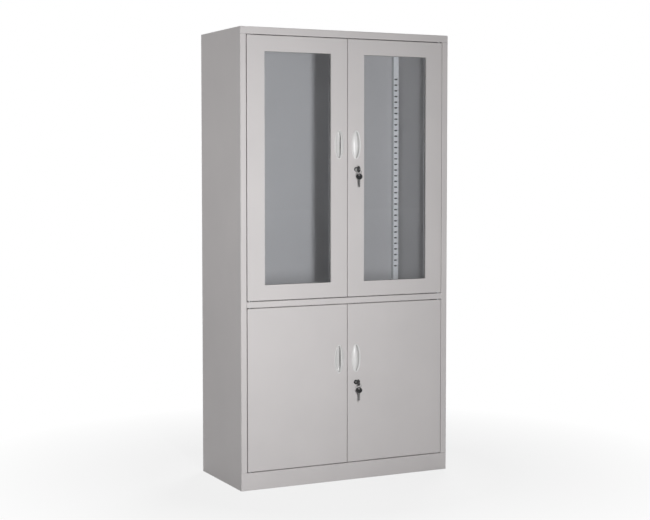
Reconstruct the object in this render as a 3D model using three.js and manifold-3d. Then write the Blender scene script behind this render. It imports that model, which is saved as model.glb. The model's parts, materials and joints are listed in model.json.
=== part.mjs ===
// Glass door medical cabinet: a folded steel carcass with two glazed doors over two steel doors.
// Millimetres, +Z up, the front faces -Y. The origin is on the floor, at the middle of the whole outline.
import * as THREE from 'three';
import { mergeVertices } from 'three/addons/utils/BufferGeometryUtils.js';
import Module from 'manifold-3d';

// Overall size
const cabinetWidth = 900;
const cabinetDepth = 400;
const cabinetHeight = 1750;

// Sheet steel
const sheet = 1;
const bendRadius = 1; // inside of a fold
const seat = 0.3; // clearance between pieces that are fixed together
const flange = 20; // stiffening flanges of the trays
const rearFlange = 22; // side panel, folded in behind the back panel
const floorFlange = 22; // side panel, folded in on the floor

// Front of the carcass
const jambWidth = 24;
const topRailHeight = 27;
const plinthHeight = 67;
const plinthReturn = 25;
const plinthLedge = 40;
const middleRailBottom = 695;
const middleRailHeight = 23;
const jambDepth = 27; // from the front face to the lip behind a jamb, clear of the turning door
const jambLip = 14;
const stopDepth = 21; // from the front face to the lips of the rails that stop the doors
const stopLip = 14;
const stopEndGap = 25; // from the pivots to the ends of those lips

// Doors
const doorGap = 3;
const doorThickness = 18;
const doorRearLip = 14;
const innerPanelInset = 4;
const innerStile = 70.5;
const outerStile = 72;
const topStile = 60;
const bottomStile = 59;
const windowReturn = 8; // depth of the reveal round the glass
const beadRadius = 5; // stiffening beads of the lower doors
const beadSpacing = 130;

// Glazing
const glassThickness = 4;
const glassLap = 9; // glass hidden behind the frame on each side
const gasketWall = 1.2;

// Pivots
const hingeInset = 12; // from the door's outer edge to the pivot
const hingeDepth = 7; // from the front face to the pivot
const pinDiameter = 6;
const pinCollar = 10;
const pinInDoor = 14;
const pinInRail = 9;
const runningClearance = 0.3;

// Flush pulls
const pullInset = 35.25; // from the door's meeting edge to the middle of the pull
const upperPullHeight = 1312;
const lowerPullHeight = 479;
const pullWidth = 40;
const pullHeight = 112;
const pullRim = 4;
const pullFlange = 2;
const pullCupDepth = 13;
const pullWall = 1.6;
const pullLidRise = 11;
const pullLidInset = 1; // from the rim's edge to the lid
const pullLidGap = 3; // from the lid's free edge to the middle

// Cam locks
const lockDrop = 95; // below the pull
const bezelDiameter = 18;
const bezelThickness = 3;
const barrelDiameter = 15.4;
const nutAcrossFlats = 20;
const nutThickness = 4;
const plugDiameter = 11;
const plugTailDiameter = 8;
const camLength = 46;
const camWidth = 15;
const camThickness = 2.5;
const camScrewHead = 2;

// Keys
const keyReach = 34; // from the front face to the tip of the key in the lock
const bowLength = 23;
const bowHeight = 25;
const bowThickness = 3;
const bowHole = 7.4;
const bowHoleInset = 5.6;
const bladeWidth = 7;
const bladeThickness = 2.2;
const bladeLength = 29;
const spareTwist = 45; // degrees about the vertical
const ringDiameter = 18;
const ringWire = 1.5;

// Slide bolts of the left doors
const boltWidth = 12;
const boltThickness = 3;
const boltLength = 96;
const boltGuideHeight = 12;
const boltGuideWall = 2;
const boltKnob = 8;
const boltClearance = 3; // below the stop lip when the bolt is drawn

// Slotted uprights and the lower shelf
const uprightWidth = 24;
const uprightDepth = 18;
const uprightWallGap = 12; // to the side wall
const slotWidth = 14;
const slotHeight = 4.5;
const slotPitch = 24;
const firstSlot = 62; // above the deck
const upperSlotGap = 150; // least distance from the last slot to the upright's top
const lowerSlotGap = 100;
const footThickness = 1.5;
const shelfSlot = 10; // the slot that carries the shelf
const shelfEdge = 25;
const shelfReturn = 14;
const shelfSideGap = 3;
const shelfUprightGap = 2;
const clipThickness = 2;
const clipWidth = 12;
const clipLedge = 13;
const clipHook = 9;

// Facets of round forms
const barSides = 16;
const pinSides = 12;
const ovalPoints = 24;
const domeSegments = 18;
const domeRings = 10;
const wireSides = 5;
const ringSegments = 20;
const curveSegments = 6;
const bendSteps = 2; // of each fold
const pressSteps = 2; // of each rounded edge of a pressed pan

// Places worked out from the sizes above
const halfWidth = cabinetWidth / 2;
const wallInner = halfWidth - sheet;
const trayHalf = wallInner - seat;
const railHalf = trayHalf - sheet - bendRadius;
const jambX = halfWidth - jambWidth;
const lipX = jambX - jambLip;
const lipClearX = lipX - seat;
const edgeRound = sheet + bendRadius;
const cornerReturn = edgeRound + seat;
const backFront = cabinetDepth - 2 * sheet - seat;
const trayRear = backFront - seat;
const topRailBottom = cabinetHeight - topRailHeight;
const middleDeck = middleRailBottom + middleRailHeight;
const bottomDeck = plinthHeight + seat + sheet;
const jambRear = jambDepth + sheet;
const stopRear = stopDepth + sheet;
const doorEdgeX = jambX - doorGap;
const doorWidth = doorEdgeX - doorGap / 2;
const pivotX = doorEdgeX - hingeInset;
const stopEnd = pivotX - stopEndGap;
const doorOuter = hingeInset;
const doorInner = hingeInset - doorWidth;
const pullX = doorInner + pullInset;
const pinHole = pinDiameter / 2 + runningClearance;
const innerPanelFront = doorThickness + seat;
const innerPanelRear = innerPanelFront + sheet;
const gasketFront = windowReturn + seat;
const glassFront = gasketFront + gasketWall + seat;
const gasketRear = glassFront + glassThickness + seat + gasketWall;
const camFront = innerPanelRear + seat + nutThickness + 2 * seat;
const boltFront = stopRear + 2 * seat;
const keyInsertion = bowLength + bladeLength - keyReach;
const bowHoleY = bowHoleInset - keyReach;
const spareTurn = THREE.MathUtils.degToRad(spareTwist);
const spareReach = (bowHeight * Math.sin(spareTurn) + bowThickness * Math.cos(spareTurn)) / 2 - bowHoleY;
const frontReach = Math.max(keyReach, spareReach);

// Solids: shapes and geometries from three.js, joined and cut as closed bodies
const wasm = await Module();
wasm.setup();

function solid(geometry) {
  geometry.deleteAttribute('normal');
  geometry.deleteAttribute('uv');
  const merged = mergeVertices(geometry, 1e-4);
  return new wasm.Manifold(new wasm.Mesh({
    numProp: 3,
    vertProperties: new Float32Array(merged.attributes.position.array),
    triVerts: new Uint32Array(merged.index.array),
  }));
}

function join(...bodies) {
  return bodies.reduce((whole, body) => whole.add(body));
}

function cut(body, ...tools) {
  return tools.reduce((rest, tool) => rest.subtract(tool), body);
}

function geometryOf(body) {
  const { vertProperties, triVerts } = body.getMesh();
  const geometry = new THREE.BufferGeometry();
  geometry.setAttribute('position', new THREE.BufferAttribute(new Float32Array(vertProperties), 3));
  geometry.setIndex(new THREE.BufferAttribute(new Uint32Array(triVerts), 1));
  const flat = geometry.toNonIndexed();
  flat.computeVertexNormals();
  return flat;
}

// Left-hand copy of a right-hand piece, with its triangles turned so that they still face out
function mirrored(geometry) {
  const copy = geometry.clone().scale(-1, 1, 1);
  const place = copy.attributes.position;
  for (let i = 0; i < place.count; i += 3) {
    const first = new THREE.Vector3().fromBufferAttribute(place, i);
    const second = new THREE.Vector3().fromBufferAttribute(place, i + 1);
    place.setXYZ(i, ...second);
    place.setXYZ(i + 1, ...first);
  }
  copy.computeVertexNormals();
  return copy;
}

function box([x0, x1], [y0, y1], [z0, z1]) {
  const geometry = new THREE.BoxGeometry(x1 - x0, y1 - y0, z1 - z0);
  return solid(geometry.translate((x0 + x1) / 2, (y0 + y1) / 2, (z0 + z1) / 2));
}

function extrude(shape, depth) {
  return new THREE.ExtrudeGeometry(shape, { depth, bevelEnabled: false, curveSegments });
}

// Extrusions along one axis of an outline drawn in the plane of the other two
function extrudeZ(shape, [z0, z1]) {
  return solid(extrude(shape, z1 - z0).translate(0, 0, z0));
}

function extrudeX(shape, [x0, x1]) {
  const turn = new THREE.Matrix4().makeBasis(
    new THREE.Vector3(0, 1, 0), new THREE.Vector3(0, 0, 1), new THREE.Vector3(1, 0, 0));
  return solid(extrude(shape, x1 - x0).applyMatrix4(turn).translate(x0, 0, 0));
}

function extrudeY(shape, [y0, y1], x = 0, z = 0) {
  return solid(extrude(shape, y1 - y0).rotateX(Math.PI / 2).translate(x, y1, z));
}

// Box with rounded edges at its front and rear, as a pressed pan has
function pressedBox([x0, x1], [y0, y1], [z0, z1]) {
  const [left, right, low, high] = [x0 + edgeRound, x1 - edgeRound, z0 + edgeRound, z1 - edgeRound];
  const shape = new THREE.Shape([[left, low], [right, low], [right, high], [left, high]]
    .map(([x, z]) => new THREE.Vector2(x, z)));
  const geometry = new THREE.ExtrudeGeometry(shape, {
    depth: y1 - y0 - 2 * edgeRound,
    bevelThickness: edgeRound,
    bevelSize: edgeRound,
    bevelSegments: pressSteps,
  });
  return solid(geometry.rotateX(Math.PI / 2).translate(0, y1 - edgeRound, 0));
}

function roundBar(diameter, [y0, y1], sides = barSides) {
  const geometry = new THREE.CylinderGeometry(diameter / 2, diameter / 2, y1 - y0, sides);
  return geometry.translate(0, (y0 + y1) / 2, 0);
}

function barY(diameter, range, x, z, sides) {
  return solid(roundBar(diameter, range, sides).translate(x, 0, z));
}

function barZ(diameter, range, x, y, sides) {
  return solid(roundBar(diameter, range, sides).rotateX(Math.PI / 2).translate(x, y, 0));
}

function ellipse(halfWide, halfHigh, points = ovalPoints) {
  const curve = new THREE.EllipseCurve(0, 0, halfWide, halfHigh);
  return new THREE.Shape(curve.getPoints(points).slice(0, points));
}

// Outline of a folded sheet. The path runs along one face, and the metal lies on its left.
function foldedSheet(path, thickness = sheet) {
  const points = path.map(([u, v]) => new THREE.Vector2(u, v));
  const turned = (vector, angle) => vector.clone().rotateAround(new THREE.Vector2(), angle);
  const leftOf = (from, to) => turned(to.clone().sub(from).normalize(), Math.PI / 2);
  const normals = points.slice(1).map((point, i) => leftOf(points[i], point));
  const last = points.length - 1;
  const near = [points[0].clone()];
  const far = [points[0].clone().addScaledVector(normals[0], thickness)];
  for (let i = 1; i < last; i += 1) {
    const [before, after] = [normals[i - 1], normals[i]];
    const turnsLeft = before.cross(after) > 0;
    const nearRadius = turnsLeft ? bendRadius + thickness : bendRadius;
    const farRadius = turnsLeft ? bendRadius : bendRadius + thickness;
    const inward = turnsLeft ? 1 : -1;
    const centre = points[i].clone().addScaledVector(before.clone().add(after), nearRadius * inward);
    for (let step = 0; step <= bendSteps; step += 1) {
      const turn = (step / bendSteps) * (Math.PI / 2) * inward;
      const normal = turned(before, turn);
      near.push(centre.clone().addScaledVector(normal, -nearRadius * inward));
      far.push(centre.clone().addScaledVector(normal, -farRadius * inward));
    }
  }
  near.push(points[last].clone());
  far.push(points[last].clone().addScaledVector(normals[last - 1], thickness));
  return new THREE.Shape([...near, ...far.reverse()]);
}

// Finishes
function finish(color, roughness, metalness) {
  return new THREE.MeshStandardMaterial({ color, roughness, metalness });
}

const finishes = {
  paint: () => finish(0xd6d6d8, 0.45, 0),
  galvanised: () => finish(0xb9bcc0, 0.4, 1),
  pull: () => finish(0xdcdcdc, 0.4, 0),
  glass: () => finish(0xb8c4c8, 0.05, 0),
  rubber: () => finish(0x2a2a2b, 0.8, 0),
  lock: () => finish(0x8a8a8c, 0.35, 1),
  steel: () => finish(0xc4c4c6, 0.25, 1),
  bow: () => finish(0x18181a, 0.5, 0),
};

const cabinet = new THREE.Group();
cabinet.position.y = (frontReach - cabinetDepth) / 2;

function addPiece(group, name, finishName, geometry) {
  const mesh = new THREE.Mesh(geometry, finishes[finishName]());
  mesh.name = name;
  group.add(mesh);
  return mesh;
}

function addSolid(group, name, finishName, body) {
  return addPiece(group, name, finishName, geometryOf(body));
}

const sides = [['left', -1], ['right', 1]];
const handed = (geometry, side) => (side < 0 ? mirrored(geometry) : geometry);

// Carcass: side panels whose front edge folds into jamb, rebate and stop lip
function sidePanel() {
  const outline = foldedSheet([
    [lipX, jambDepth], [jambX, jambDepth], [jambX, 0], [halfWidth, 0],
    [halfWidth, cabinetDepth], [halfWidth - rearFlange, cabinetDepth],
  ]);
  const past = 1;
  const railHeights = [[-past, plinthHeight + seat], [topRailBottom - seat, cabinetHeight + past]];
  const notches = railHeights.flatMap((heights) => [
    box([lipX - past, halfWidth + past], [-past, cornerReturn], heights),
    box([lipX - past, wallInner], [-past, jambRear + past], heights),
  ]);
  const foot = box(
    [halfWidth - floorFlange, halfWidth - sheet / 2], [plinthReturn + seat, trayRear], [0, sheet]);
  return join(cut(extrudeZ(outline, [0, cabinetHeight]), ...notches), foot);
}

// Rounded end of a full-width rail, flush with the side panel
function railCorner(heights) {
  const inner = railHalf - edgeRound;
  const corner = new THREE.Shape();
  corner.moveTo(inner, 0);
  corner.lineTo(halfWidth - edgeRound, 0);
  corner.absarc(halfWidth - edgeRound, edgeRound, edgeRound, -Math.PI / 2, 0);
  corner.lineTo(inner, edgeRound);
  return extrudeZ(corner, heights);
}

function withCorners(body, heights) {
  const right = railCorner(heights);
  return join(body, right, solid(mirrored(geometryOf(right))));
}

// Flange folded down from the two ends and the rear of a deck
function skirt(front, top) {
  const around = foldedSheet([
    [trayHalf, front], [trayHalf, trayRear], [-trayHalf, trayRear], [-trayHalf, front],
  ]);
  return extrudeZ(around, [top - flange, top - sheet / 2]);
}

// Flat of a deck, up to the middle of the metal of its skirt
function deckPlate(front, top) {
  const half = trayHalf - sheet / 2;
  return box([-half, half], [front, trayRear - sheet / 2], [top - sheet, top]);
}

// Front strip of a deck, between the jamb lips
function deckStrip(front, top) {
  return box([-lipClearX, lipClearX], [front, jambRear + flange], [top - sheet, top]);
}

function pivotHoles(heights) {
  return [-pivotX, pivotX].map((x) => barZ(2 * pinHole, heights, x, hingeDepth, pinSides));
}

function topPanel() {
  const rail = foldedSheet([
    [flange, cabinetHeight], [0, cabinetHeight], [0, topRailBottom], [stopDepth, topRailBottom],
  ]);
  const lip = foldedSheet([
    [stopDepth / 2, topRailBottom], [stopDepth, topRailBottom], [stopDepth, topRailBottom - stopLip],
  ]);
  const deckFront = cornerReturn + edgeRound;
  const body = join(
    extrudeX(rail, [-railHalf, railHalf]), extrudeX(lip, [-stopEnd, stopEnd]),
    deckPlate(deckFront, cabinetHeight), skirt(deckFront + edgeRound, cabinetHeight));
  const holes = pivotHoles([topRailBottom - sheet, topRailBottom + 2 * sheet]);
  return cut(withCorners(body, [topRailBottom, cabinetHeight]), ...holes);
}

function middlePanel() {
  const face = [[0, middleDeck], [0, middleRailBottom]];
  const rail = foldedSheet([[jambDepth - seat, middleDeck], ...face, [stopDepth, middleRailBottom]]);
  const lip = foldedSheet([
    [stopDepth / 2, middleRailBottom], [stopDepth, middleRailBottom], [stopDepth, middleRailBottom - stopLip],
  ]);
  const railEnd = jambX - seat;
  const deckFront = jambRear + seat;
  const body = join(
    extrudeX(rail, [-railEnd, railEnd]), extrudeX(lip, [-stopEnd, stopEnd]),
    deckStrip(stopDepth, middleDeck), deckPlate(deckFront, middleDeck),
    skirt(deckFront + edgeRound, middleDeck));
  return cut(body, ...pivotHoles([middleRailBottom - sheet, middleDeck + sheet]));
}

function bottomPanel() {
  const underside = plinthHeight + seat;
  const lip = foldedSheet([
    [stopDepth, underside + stopLip], [stopDepth, underside], [jambDepth, underside],
  ]);
  return join(
    extrudeX(lip, [-stopEnd, stopEnd]), deckStrip(stopRear + edgeRound, bottomDeck),
    deckPlate(jambRear + seat, bottomDeck), skirt(plinthLedge + seat, bottomDeck));
}

function plinth() {
  const face = foldedSheet([
    [plinthLedge, plinthHeight], [0, plinthHeight], [0, 0], [plinthReturn, 0],
  ]);
  const body = withCorners(extrudeX(face, [-railHalf, railHalf]), [0, plinthHeight]);
  return cut(body, ...pivotHoles([plinthHeight - 2 * sheet, plinthHeight + sheet]));
}

function backPanel() {
  const half = trayHalf - bendRadius;
  return box([-half, half], [backFront, backFront + sheet], [seat, cabinetHeight - seat]);
}

const sidePanelGeometry = geometryOf(sidePanel());
for (const [name, side] of sides) {
  addPiece(cabinet, `${name}_side_panel`, 'paint', handed(sidePanelGeometry, side));
}
addSolid(cabinet, 'back_panel', 'paint', backPanel());
addSolid(cabinet, 'top_panel', 'paint', topPanel());
addSolid(cabinet, 'middle_panel', 'paint', middlePanel());
addSolid(cabinet, 'bottom_panel', 'paint', bottomPanel());
addSolid(cabinet, 'plinth', 'paint', plinth());

// Slotted uprights: channels on the back panel and behind the jambs, their slots towards the shelf
const uprightOuter = wallInner - uprightWallGap;
const uprightInner = uprightOuter - uprightWidth;
const uprightMiddle = (uprightOuter + uprightInner) / 2;
const rearWeb = trayRear - uprightDepth;
const frontWeb = jambRear + seat + uprightDepth;
const uprightPlaces = [['front', frontWeb, jambRear + seat], ['rear', rearWeb, trayRear]];

function upright(web, legEnd, deck, top, slotGap) {
  const [start, end] = web < legEnd ? [uprightInner, uprightOuter] : [uprightOuter, uprightInner];
  const channel = foldedSheet([[start, legEnd], [start, web], [end, web], [end, legEnd]]);
  const foot = deck + seat;
  const through = [web - 2 * sheet, web + 2 * sheet];
  const across = [uprightMiddle - slotWidth / 2, uprightMiddle + slotWidth / 2];
  const pitches = Math.floor((top - slotGap - deck - firstSlot) / slotPitch);
  const holes = Array.from({ length: pitches + 1 }, (_, i) => {
    const middle = deck + firstSlot + i * slotPitch;
    return box(across, through, [middle - slotHeight / 2, middle + slotHeight / 2]);
  });
  const footDepth = [Math.min(web, legEnd) + edgeRound, Math.max(web, legEnd) - edgeRound];
  const tab = box([uprightOuter - sheet / 2, trayHalf], footDepth, [foot, foot + footThickness]);
  return join(cut(extrudeZ(channel, [foot, top]), ...holes), tab);
}

const levels = [
  { level: 'upper', deck: middleDeck, top: cabinetHeight - flange - seat, slotGap: upperSlotGap },
  { level: 'lower', deck: bottomDeck, top: middleDeck - flange - seat, slotGap: lowerSlotGap },
];
for (const { level, deck, top, slotGap } of levels) {
  for (const [place, web, legEnd] of uprightPlaces) {
    const geometry = geometryOf(upright(web, legEnd, deck, top, slotGap));
    for (const [name, side] of sides) {
      addPiece(cabinet, `${level}_${name}_${place}_upright`, 'paint', handed(geometry, side));
    }
  }
}

// Lower shelf on four clips that hook into the slots
const clipUnderside = bottomDeck + firstSlot + shelfSlot * slotPitch - slotHeight / 2 + seat;
const shelfBottom = clipUnderside + clipThickness + seat;

function shelf() {
  const top = shelfBottom + shelfEdge;
  const [front, rear] = [frontWeb + shelfUprightGap, rearWeb - shelfUprightGap];
  const tray = foldedSheet([
    [rear - shelfReturn, shelfBottom], [rear, shelfBottom], [rear, top],
    [front, top], [front, shelfBottom], [front + shelfReturn, shelfBottom],
  ]);
  const end = wallInner - shelfSideGap;
  const ends = [[-end, sheet - end], [end - sheet, end]].map((across) => box(
    across, [front + 2 * edgeRound, rear - 2 * edgeRound], [shelfBottom + edgeRound, top - sheet / 2]));
  return join(extrudeX(tray, [sheet / 2 - end, end - sheet / 2]), ...ends);
}

function shelfClip(place) {
  const [z, low] = [clipUnderside, clipUnderside - clipHook];
  const hookAtRear = rearWeb + sheet + seat;
  const hookAtFront = frontWeb - sheet - seat;
  const path = place === 'rear'
    ? [[rearWeb - clipLedge, z], [hookAtRear, z], [hookAtRear, low]]
    : [[hookAtFront, low], [hookAtFront, z], [frontWeb + clipLedge, z]];
  const across = [uprightMiddle - clipWidth / 2, uprightMiddle + clipWidth / 2];
  return extrudeX(foldedSheet(path, clipThickness), across);
}

addSolid(cabinet, 'lower_shelf', 'paint', shelf());
for (const [place] of uprightPlaces) {
  const geometry = geometryOf(shelfClip(place));
  for (const [name, side] of sides) {
    addPiece(cabinet, `lower_shelf_clip_${name}_${place}`, 'galvanised', handed(geometry, side));
  }
}

// Doors. Each is drawn right-handed, with its pivot at x = 0 and its lower edge at z = 0.
const grow = ([low, high], by) => [low - by, high + by];
const doorAcross = [doorInner, doorOuter];
const doorDeep = [0, doorThickness];
const windowAcross = [doorInner + innerStile, doorOuter - outerStile];
const windowUp = (height) => [bottomStile, height - topStile];
const clearThrough = [-sheet, 2 * doorThickness];
const lockHole = barrelDiameter + 2 * seat;

// Pressed outer pan: front face, edges and rear lips, with the holes for pull, lock and pivots
function doorPan({ height, glazed, pullZ }, hasLock) {
  const heights = [0, height];
  const hollow = box(grow(doorAcross, -sheet), grow(doorDeep, -sheet), grow(heights, -sheet));
  const rearOpening = box(
    grow(doorAcross, -doorRearLip), [doorThickness / 2, 2 * doorThickness], grow(heights, -doorRearLip));
  const pinHoles = [[-sheet, 2 * sheet], [height - 2 * sheet, height + sheet]]
    .map((range) => barZ(2 * pinHole, range, 0, hingeDepth, pinSides));
  const cupHole = ellipse(pullWidth / 2 - pullRim + seat, pullHeight / 2 - pullRim + seat);
  const holes = [extrudeY(cupHole, [-sheet, 2 * sheet], pullX, pullZ), ...pinHoles];
  if (hasLock) holes.push(barY(lockHole, [-sheet, 2 * sheet], pullX, pullZ - lockDrop));
  const pan = cut(pressedBox(doorAcross, doorDeep, heights), hollow, rearOpening, ...holes);
  if (!glazed) return pan;
  const reveal = box(grow(windowAcross, sheet), [sheet / 2, windowReturn], grow(windowUp(height), sheet));
  return cut(join(pan, reveal), box(windowAcross, clearThrough, windowUp(height)));
}

function gasket({ height }) {
  const outer = glassLap + seat + gasketWall;
  const groove = [gasketFront + gasketWall, gasketRear - gasketWall];
  return cut(
    box(grow(windowAcross, outer), [gasketFront, gasketRear], grow(windowUp(height), outer)),
    box(grow(windowAcross, glassLap + seat), groove, grow(windowUp(height), glassLap + seat)),
    box(windowAcross, clearThrough, windowUp(height)));
}

function glassPane({ height }) {
  return box(
    grow(windowAcross, glassLap), [glassFront, glassFront + glassThickness],
    grow(windowUp(height), glassLap));
}

// Guides of the slide bolt, on the inner face of a left door
const boltAcross = grow([pullX, pullX], boltWidth / 2);
const boltDeep = [boltFront, boltFront + boltThickness];

function boltGuides(boltTop) {
  const outer = grow(boltAcross, seat + boltGuideWall);
  const guide = (middle) => {
    const heights = grow([middle, middle], boltGuideHeight / 2);
    return cut(
      box(outer, [innerPanelRear - sheet / 2, boltDeep[1] + seat + boltGuideWall], heights),
      box(grow(boltAcross, seat), grow(boltDeep, seat), grow(heights, sheet)));
  };
  return [boltTop - boltLength / 4, boltTop - boltLength * 3 / 4].map(guide);
}

function slideBolt(boltTop) {
  const bar = box(boltAcross, boltDeep, [boltTop - boltLength, boltTop]);
  const knobEnd = boltDeep[1] + boltGuideWall + boltKnob;
  return join(bar, barY(boltKnob, [boltDeep[0] + sheet, knobEnd], pullX, boltTop - boltLength / 2, pinSides));
}

// Inner face of a door: a frame that clamps the glass, or a beaded panel behind a steel door
function innerPanel({ height, glazed, pullZ, boltTop }, hasLock) {
  const across = grow(doorAcross, -innerPanelInset);
  const heights = grow([0, height], -innerPanelInset);
  let panel = box(across, [innerPanelFront, innerPanelRear], heights);
  if (glazed) {
    const clamp = box(
      grow(windowAcross, sheet), [gasketRear + seat, innerPanelRear], grow(windowUp(height), sheet));
    panel = cut(join(panel, clamp), box(windowAcross, clearThrough, windowUp(height)));
  } else {
    const middle = (doorInner + doorOuter) / 2;
    const beadUp = grow([0, height], -doorRearLip - beadRadius);
    const beads = [-beadSpacing / 2, beadSpacing / 2]
      .map((offset) => barZ(2 * beadRadius, beadUp, middle + offset, innerPanelFront, pinSides));
    panel = join(panel, ...beads);
  }
  if (hasLock) return cut(panel, barY(lockHole, clearThrough, pullX, pullZ - lockDrop));
  return join(panel, ...boltGuides(boltTop));
}

// Flush pull: a rim and finger cup, half of it under a domed lid on the meeting edge side
function flushPull() {
  const [wide, high] = [pullWidth / 2, pullHeight / 2];
  const rim = extrudeY(ellipse(wide, high), [-seat - pullFlange, -seat]);
  const cup = extrudeY(ellipse(wide - pullRim, high - pullRim), [-seat - pullFlange / 2, pullCupDepth]);
  const wall = pullRim + pullWall;
  const pocket = extrudeY(
    ellipse(wide - wall, high - wall), [-2 * pullFlange, pullCupDepth - pullWall]);
  const dome = (inset) => solid(new THREE.SphereGeometry(1, domeSegments, domeRings)
    .scale(wide - inset, pullLidRise - inset, high - inset).translate(0, -seat, 0));
  const half = box([-pullWidth, -pullLidGap], [-2 * pullLidRise, -seat - pullFlange / 2], [-high, high]);
  const lid = cut(dome(pullLidInset), dome(pullLidInset + pullWall)).intersect(half);
  return join(cut(join(rim, cup), pocket), lid);
}

// Pivot pin with a collar that keeps the door's gap to the rail
function pivotPin(gap, heights) {
  const collar = barZ(pinCollar, grow(gap, -seat), 0, hingeDepth, pinSides);
  return join(collar, barZ(pinDiameter, heights, 0, hingeDepth, pinSides));
}

// Cam lock, drawn about its own axis along Y
const lockEnd = innerPanelRear + seat + nutThickness + seat;
const plugShoulder = camFront - seat;
const camRear = camFront + camThickness;

function lockBarrel() {
  const bezel = new THREE.CylinderGeometry(
    bezelDiameter / 2, bezelDiameter / 2 - sheet, bezelThickness - seat, barSides);
  bezel.translate(0, -(bezelThickness + seat) / 2, 0);
  const body = barY(barrelDiameter, [-seat - bezelThickness / 2, lockEnd], 0, 0);
  const bore = barY(plugDiameter + 2 * runningClearance, [-2 * bezelThickness, 2 * lockEnd], 0, 0);
  return cut(join(solid(bezel), body), bore);
}

function lockNut() {
  const across = nutAcrossFlats / Math.cos(Math.PI / 6);
  const start = innerPanelRear + seat;
  return cut(barY(across, [start, start + nutThickness], 0, 0, 6), barY(lockHole, clearThrough, 0, 0));
}

function lockPlug() {
  const keyway = box(
    grow([0, 0], bladeThickness / 2 + seat), [-2 * bezelThickness, keyInsertion + seat],
    grow([0, 0], bladeWidth / 2 + seat));
  const body = join(
    barY(plugDiameter, [-bezelThickness - seat, plugShoulder], 0, 0),
    barY(plugTailDiameter, [plugShoulder - sheet, camRear + 2 * seat], 0, 0),
    barY(plugDiameter, [camRear + seat, camRear + seat + camScrewHead], 0, 0));
  return cut(body, keyway);
}

function lockCam() {
  const half = camWidth / 2;
  const shape = new THREE.Shape();
  shape.absarc(0, 0, half, 0, Math.PI);
  shape.lineTo(-half, half - camLength);
  shape.absarc(0, half - camLength, half, Math.PI, 2 * Math.PI);
  const hole = barY(plugTailDiameter + 2 * seat, [camFront - sheet, camRear + sheet], 0, 0);
  return cut(extrudeY(shape, [camFront, camRear]), hole);
}

// Key drawn flat in XZ, with its ring hole at the origin and its blade pointing down
function key() {
  const bowMiddle = bowHoleInset - bowLength / 2;
  const bow = ellipse(bowHeight / 2, bowLength / 2);
  const thick = [-bowThickness / 2, bowThickness / 2];
  const hole = barY(bowHole, grow(thick, sheet), 0, 0);
  const bowEnd = bowHoleInset - bowLength;
  const blade = box(
    grow([0, 0], bladeWidth / 2), grow([0, 0], bladeThickness / 2),
    [bowEnd - bladeLength, bowEnd + bladeWidth / 2]);
  return geometryOf(cut(join(extrudeY(bow, thick, 0, bowMiddle), blade), hole));
}

// The ring rests in the hole of the key in the lock. The spare hangs turned, so the wire crosses it aslant.
const wireDrop = bowHole / 2 - ringWire / 2 - seat;
const wireSlant = bowThickness / 2 * Math.tan(spareTurn);
const slantRadius = ringWire / 2 / Math.cos(spareTurn);
const spareDrop = bowHole / 2 - slantRadius - seat - wireSlant / 2;

function keyRing() {
  const torus = new THREE.TorusGeometry(ringDiameter / 2, ringWire / 2, wireSides, ringSegments);
  return torus.rotateX(Math.PI / 2);
}

function addLock(door, level, lockZ) {
  const lock = new THREE.Group();
  lock.position.set(pullX, 0, lockZ);
  door.add(lock);
  addSolid(lock, `${level}_lock_barrel`, 'lock', lockBarrel());
  addSolid(lock, `${level}_lock_nut`, 'steel', lockNut());
  addSolid(lock, `${level}_lock_plug`, 'steel', lockPlug());
  addSolid(lock, `${level}_lock_cam`, 'steel', lockCam());
  const inLock = addPiece(lock, `${level}_key`, 'bow', key().rotateX(Math.PI / 2).rotateY(Math.PI / 2));
  inLock.position.y = bowHoleY;
  const ring = addPiece(lock, `${level}_key_ring`, 'steel', keyRing());
  ring.position.set(0, bowHoleY, -wireDrop - ringDiameter / 2);
  const spare = addPiece(lock, `${level}_spare_key`, 'bow', key());
  spare.position.set(0, bowHoleY, -wireDrop - ringDiameter - spareDrop);
  spare.rotation.z = -spareTurn;
}

function addDoor(shape, name, side) {
  const { level, glazed, bottom, height, pullZ, boltTop } = shape;
  const hasLock = side > 0;
  const door = new THREE.Group();
  door.position.set(side * pivotX, 0, bottom);
  cabinet.add(door);
  const prefix = `${level}_${name}`;
  const add = (piece, finishName, body) => (
    addPiece(door, `${prefix}_${piece}`, finishName, handed(geometryOf(body), side)));
  add(glazed ? 'door_frame' : 'door_skin', 'paint', doorPan(shape, hasLock));
  add(glazed ? 'door_retainer' : 'door_inner_panel', 'paint', innerPanel(shape, hasLock));
  if (glazed) {
    add('door_glass', 'glass', glassPane(shape));
    add('door_gasket', 'rubber', gasket(shape));
  }
  add('door_pull', 'pull', flushPull()).position.set(side * pullX, 0, pullZ);
  add('bottom_pivot', 'galvanised', pivotPin([-doorGap, 0], [-doorGap - pinInRail, pinInDoor]));
  add('top_pivot', 'galvanised', pivotPin(
    [height, height + doorGap], [height - pinInDoor, height + doorGap + pinInRail]));
  if (hasLock) {
    addLock(door, level, pullZ - lockDrop);
  } else {
    add('door_bolt', 'galvanised', slideBolt(boltTop));
  }
}

function doorShape(level, glazed, [low, high], pullHeightAbove) {
  const bottom = low + doorGap;
  return {
    level,
    glazed,
    bottom,
    height: high - doorGap - bottom,
    pullZ: pullHeightAbove - bottom,
    boltTop: high - stopLip - boltClearance - bottom,
  };
}

const doorShapes = [
  doorShape('upper', true, [middleDeck, topRailBottom], upperPullHeight),
  doorShape('lower', false, [plinthHeight, middleRailBottom], lowerPullHeight),
];
for (const shape of doorShapes) {
  for (const [name, side] of sides) addDoor(shape, name, side);
}

export default cabinet;
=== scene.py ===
import json
import math

import bmesh
import bpy
from mathutils import Matrix, Vector

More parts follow.
